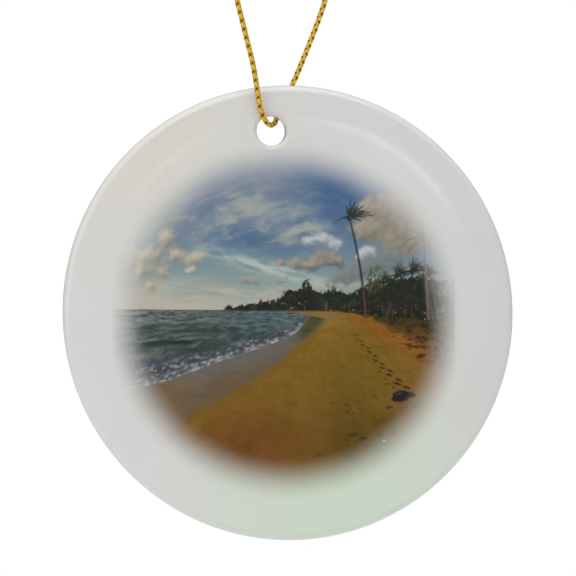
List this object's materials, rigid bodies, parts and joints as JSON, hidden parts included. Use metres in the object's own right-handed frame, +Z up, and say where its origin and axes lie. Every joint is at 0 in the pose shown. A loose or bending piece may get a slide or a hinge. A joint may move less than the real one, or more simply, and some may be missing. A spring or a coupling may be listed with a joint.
{
  "type": "souvenir christmas ornament",
  "caption": "Round glazed porcelain hanging ornament with a printed beach picture and a knotted loop of gold braided cord.",
  "frame": {"origin": "the hang point, inside the top of the cord loop, under the knot; the middle of the disc is 90 mm straight below it", "axes": "+Z up, along the pull of the cord; -Y out of the printed face, through the disc's thickness; +X to the right of a person who looks at the print"},
  "size_m": [0.073, 0.0054, 0.1372],
  "materials": {
    "porcelain": "white gloss glaze",
    "print_coating": "clear gloss coating with a dyed beach picture that fades to white at its edge",
    "gold_cord": "metallic gold braid"
  },
  "bodies": {
    "loop_top": {"cord_knot": "gold_cord", "cord_tails": "gold_cord"},
    "cord_loop": {"hanging_cord": "gold_cord"},
    "disc": {"ceramic_disc": "porcelain", "printed_coating": "print_coating"}
  },
  "joints": [
    {"name": "loop_twist", "type": "hinge", "parent": "loop_top", "child": "cord_loop", "pos_m": [0, 0, 0], "axis": [0, 0, 1], "range_deg": [-180, 180]},
    {"name": "disc_swing", "type": "hinge", "parent": "cord_loop", "child": "disc", "pos_m": [-0.00306, 0, -0.06091], "axis": [0, 1, 0], "range_deg": [-60, 60]}
  ]
}
